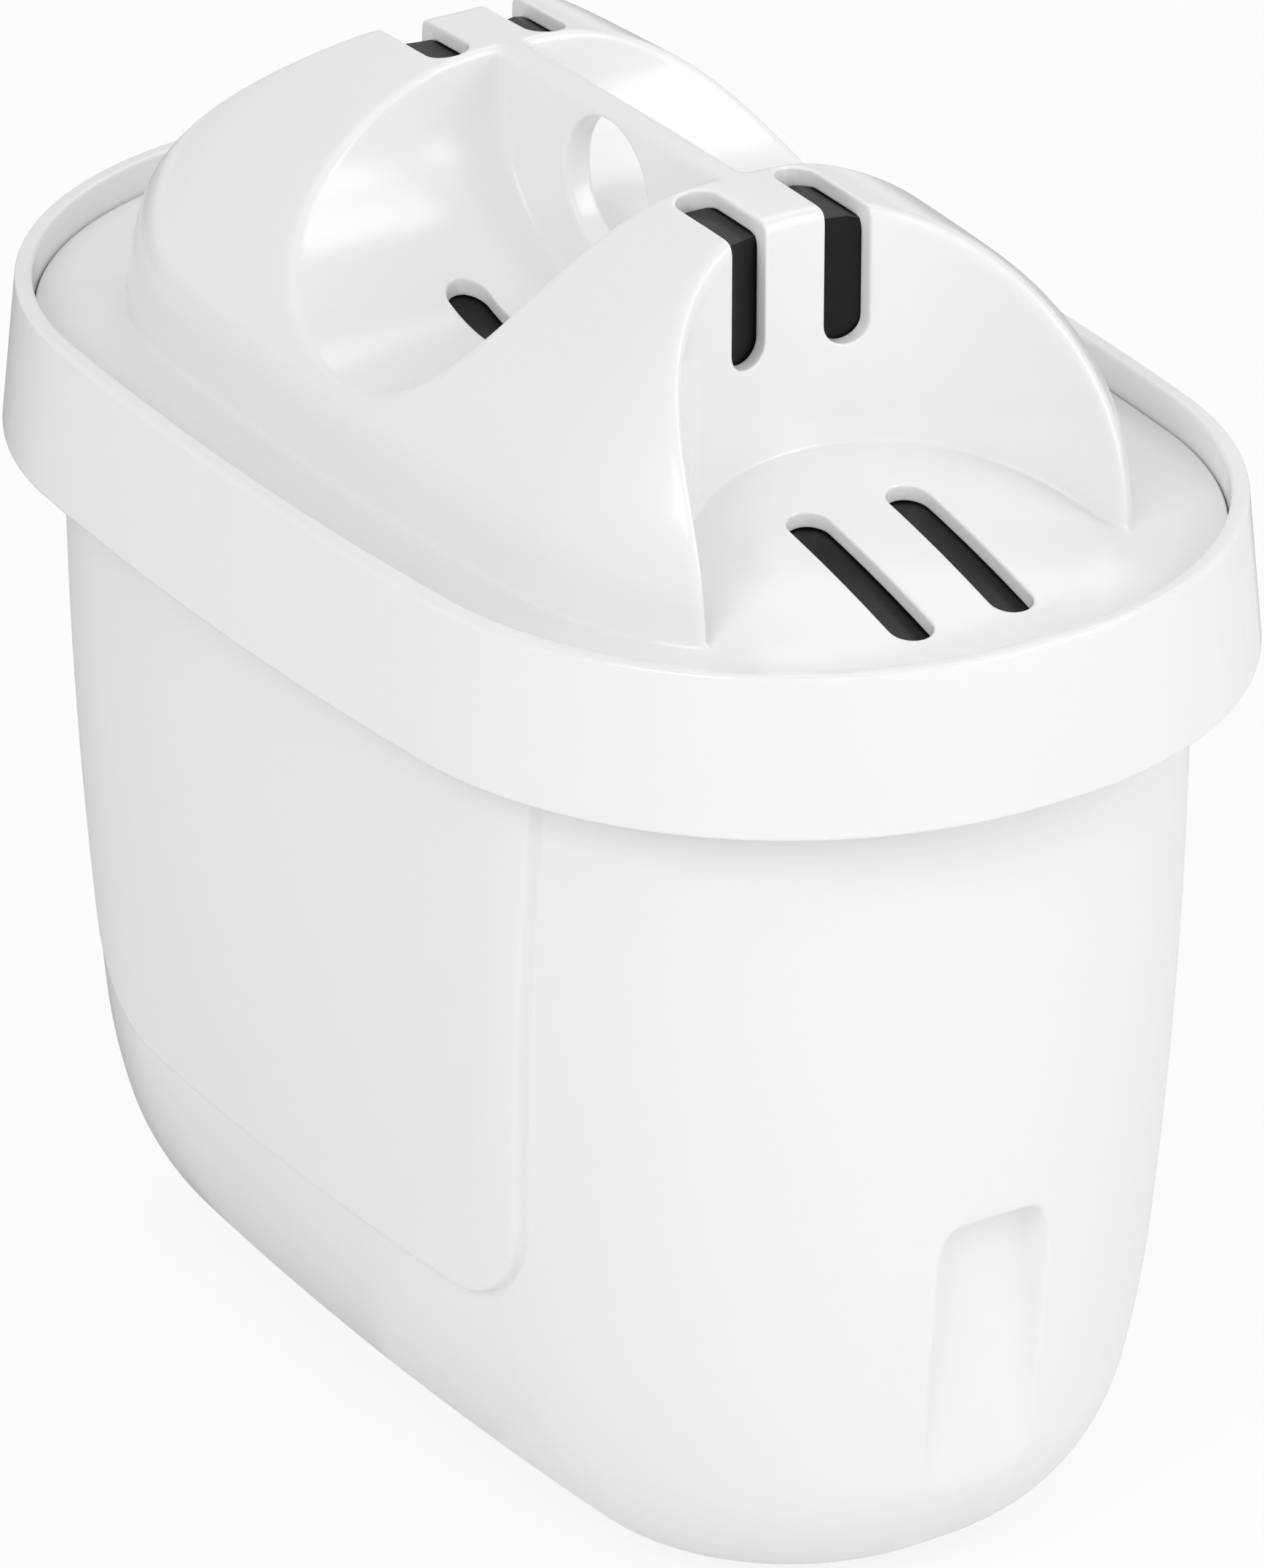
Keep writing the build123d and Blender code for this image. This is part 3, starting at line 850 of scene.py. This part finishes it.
def stand_for(piece, node):
    """A shell that replaces its CAD node and rides on the one body."""
    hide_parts(node)
    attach(piece, "root")


class CARTRIDGE_OT_cup(bpy.types.Operator):
    """Cup with its collar, pads, recesses and outlet"""

    bl_idname = "cartridge.cup"
    bl_label = "Cup"

    def execute(self, context):
        scene = context.scene
        outline, cup = scene.cartridge_outline, scene.cartridge_cup
        across = outline.half_length + cup.collar_flare + BOX_MARGIN
        deep = outline.half_width + cup.collar_flare + BOX_MARGIN
        box = (-across, -deep, -BOX_MARGIN), (across, deep, cup.rim_height + BOX_MARGIN)
        stand_for(build_body(scene, cup_form(scene), box, CUP_VOXEL, CUP_TRIANGLES), "cup")
        return {"FINISHED"}


class CARTRIDGE_OT_lid(bpy.types.Operator):
    """Vaulted lid with its scoops, web and slots"""

    bl_idname = "cartridge.lid"
    bl_label = "Lid"

    def execute(self, context):
        scene = context.scene
        outline, cup, lid = scene.cartridge_outline, scene.cartridge_cup, scene.cartridge_lid
        across, deep = outline.half_length, outline.half_width
        low, high = cup.ledge_height - BOX_MARGIN, lid.crown_height + BOX_MARGIN
        box = (-across, -deep, low), (across, deep, high)
        stand_for(build_body(scene, lid_form(scene), box, LID_VOXEL, LID_TRIANGLES), "lid")
        return {"FINISHED"}


class CARTRIDGE_OT_filling(bpy.types.Operator):
    """Mesh screens and filter granules"""

    bl_idname = "cartridge.filling"
    bl_label = "Screens and Granules"

    def execute(self, context):
        finish = context.scene.cartridge_finish
        screen = dark_mesh(finish.mesh)
        dress("inlet_screen", screen)
        dress("outlet_screen", screen)
        dress("media_bed", granules(finish.media))
        return {"FINISHED"}


class CARTRIDGE_OT_stage(bpy.types.Operator):
    """White floor, cards that paint a grey reflection into the edges, soft boxes and the camera"""

    bl_idname = "cartridge.stage"
    bl_label = "Stage"

    def execute(self, context):
        scene = context.scene
        add_floor(scene)
        # Each card glows grey for reflections alone: painted reflection that gives the white edges a grey
        # contour
        for name, (start, end) in CARDS.items():
            add_card(scene, name, start, end, getattr(scene.cartridge_finish, name))
        world = bpy.data.worlds.new("Pale Studio")
        scene.world = world
        world.use_nodes = True
        sky = world.node_tree.nodes["Background"]
        sky.inputs["Color"].default_value = (1.0, 1.0, 1.0, 1.0)
        sky.inputs["Strength"].default_value = scene.cartridge_light.sky
        for name, box in SOFT_BOXES.items():
            add_soft_box(scene, name, getattr(scene.cartridge_light, name), *box)
        add_camera(scene)
        scene.view_settings.view_transform = "Standard"
        return {"FINISHED"}


def add_floor(scene):
    """A pale floor that shows white and keeps a faint shadow."""
    corners = [(-FLOOR_REACH, -FLOOR_REACH, 0), (FLOOR_REACH, -FLOOR_REACH, 0),
               (FLOOR_REACH, FLOOR_REACH, 0), (-FLOOR_REACH, FLOOR_REACH, 0)]
    mesh = bpy.data.meshes.new("floor")
    mesh.from_pydata(corners, [], [(0, 1, 2, 3)])
    floor = bpy.data.objects.new("floor", mesh)
    scene.collection.objects.link(floor)
    material, shader, tree = plain_material("Pale Floor", scene.cartridge_finish.floor, 1.0)
    shader.inputs["Specular IOR Level"].default_value = 0.0
    path = add_node(tree, "ShaderNodeLightPath").outputs
    seen = Sum(tree, path["Is Camera Ray"]).over(Sum(tree, path["Is Glossy Ray"]))
    seen = seen.over(Sum(tree, path["Is Transmission Ray"])) * FLOOR_WHITE
    glow = add_node(tree, "ShaderNodeEmission", {"Color": (1.0, 1.0, 1.0, 1.0)})
    mixed = add_node(tree, "ShaderNodeMixShader", {0: seen, 1: shader.outputs[0], 2: glow.outputs[0]})
    tree.links.new(mixed.outputs[0], tree.nodes["Material Output"].inputs["Surface"])
    mesh.materials.append(material)


def add_card(scene, name, start, end, colour):
    """A glowing grey card on the floor that only reflections see: a painted reflection that shades the
    white edges, so that they show on white.
    """
    count = CARD_STEPS + 1
    ring = [direction(start + (end - start) * i / CARD_STEPS, 0.0) for i in range(count)]
    reaches = CARD_NEAR, CARD_REACH
    corners = [(way.x * reach, way.y * reach, CARD_LIFT) for reach in reaches for way in ring]
    faces = [(i, count + i, count + i + 1, i + 1) for i in range(CARD_STEPS)]
    mesh = bpy.data.meshes.new(name)
    mesh.from_pydata(corners, [], faces)
    card = bpy.data.objects.new(name, mesh)
    scene.collection.objects.link(card)
    material, shader = plain_material(name, (0.0, 0.0, 0.0, 1.0), 1.0)[:2]
    shader.inputs["Specular IOR Level"].default_value = 0.0
    shader.inputs["Emission Color"].default_value = colour
    shader.inputs["Emission Strength"].default_value = 1.0
    mesh.materials.append(material)
    card.visible_camera = False
    card.visible_diffuse = False
    card.visible_transmission = False
    card.visible_shadow = False


def direction(azimuth, elevation):
    """Where a direction in degrees points; azimuth 0 is in front of the long side."""
    turn, rise = math.radians(azimuth), math.radians(elevation)
    level = math.cos(rise)
    return Vector((math.sin(turn) * level, -math.cos(turn) * level, math.sin(rise)))


def add_soft_box(scene, name, power, azimuth, elevation, size, lights):
    """A soft box that faces the object from a direction; one that doesn't light shows in gloss alone."""
    data = bpy.data.lights.new(name, "AREA")
    data.shape = "RECTANGLE"
    data.size, data.size_y = size
    data.energy = power
    box = bpy.data.objects.new(name, data)
    away = direction(azimuth, elevation)
    box.location = away * SOFT_BOX_DISTANCE
    box.rotation_euler = away.to_track_quat("Z", "Y").to_euler()
    box.visible_camera = False
    box.visible_diffuse = lights
    scene.collection.objects.link(box)


def add_camera(scene):
    """Camera at the photograph's place, angle and focal length."""
    back = direction(CAMERA_AZIMUTH, CAMERA_ELEVATION)
    right = Vector((0.0, 0.0, 1.0)).cross(back).normalized()
    level = Matrix((right, back.cross(right), back)).transposed()
    data = bpy.data.cameras.new("camera")
    data.lens = CAMERA_LENS
    data.sensor_width = CAMERA_SENSOR
    data.sensor_fit = "AUTO"
    camera = bpy.data.objects.new("camera", data)
    turn = level @ Matrix.Rotation(math.radians(CAMERA_ROLL), 3, "Z")
    camera.matrix_world = Matrix.Translation(Vector(CAMERA_PLACE) * MM) @ turn.to_4x4()
    scene.collection.objects.link(camera)
    scene.camera = camera


class CARTRIDGE_PT_panel(bpy.types.Panel):
    """Sizes and colours of the cartridge."""

    bl_label = "Filter Cartridge"
    bl_idname = "CARTRIDGE_PT_panel"
    bl_space_type = "VIEW_3D"
    bl_region_type = "UI"
    bl_category = "Cartridge"

    def draw(self, context):
        for group, name in GROUPS.items():
            for key in group.__annotations__:
                self.layout.prop(getattr(context.scene, name), key)
        for operator in OPERATORS:
            self.layout.operator(operator.bl_idname)


OPERATORS = (CARTRIDGE_OT_stage, CARTRIDGE_OT_cup, CARTRIDGE_OT_lid, CARTRIDGE_OT_filling)


def register():
    """Makes the sizes, operators and panel known."""
    for group, name in GROUPS.items():
        bpy.utils.register_class(group)
        setattr(bpy.types.Scene, name, bpy.props.PointerProperty(type=group))
    for each in OPERATORS + (CARTRIDGE_PT_panel,):
        bpy.utils.register_class(each)


def unregister():
    """Takes them away again."""
    for each in reversed(OPERATORS + (CARTRIDGE_PT_panel,)):
        bpy.utils.unregister_class(each)
    for group, name in reversed(GROUPS.items()):
        delattr(bpy.types.Scene, name)
        bpy.utils.unregister_class(group)


def main():
    """Builds the scene."""
    for leftover in list(bpy.context.scene.objects):
        if leftover.type in ("CAMERA", "LIGHT"):
            bpy.data.objects.remove(leftover)
    register()
    bpy.ops.cartridge.stage()
    bpy.ops.cartridge.cup()
    bpy.ops.cartridge.lid()
    bpy.ops.cartridge.filling()


if __name__ == "__main__":
    main()
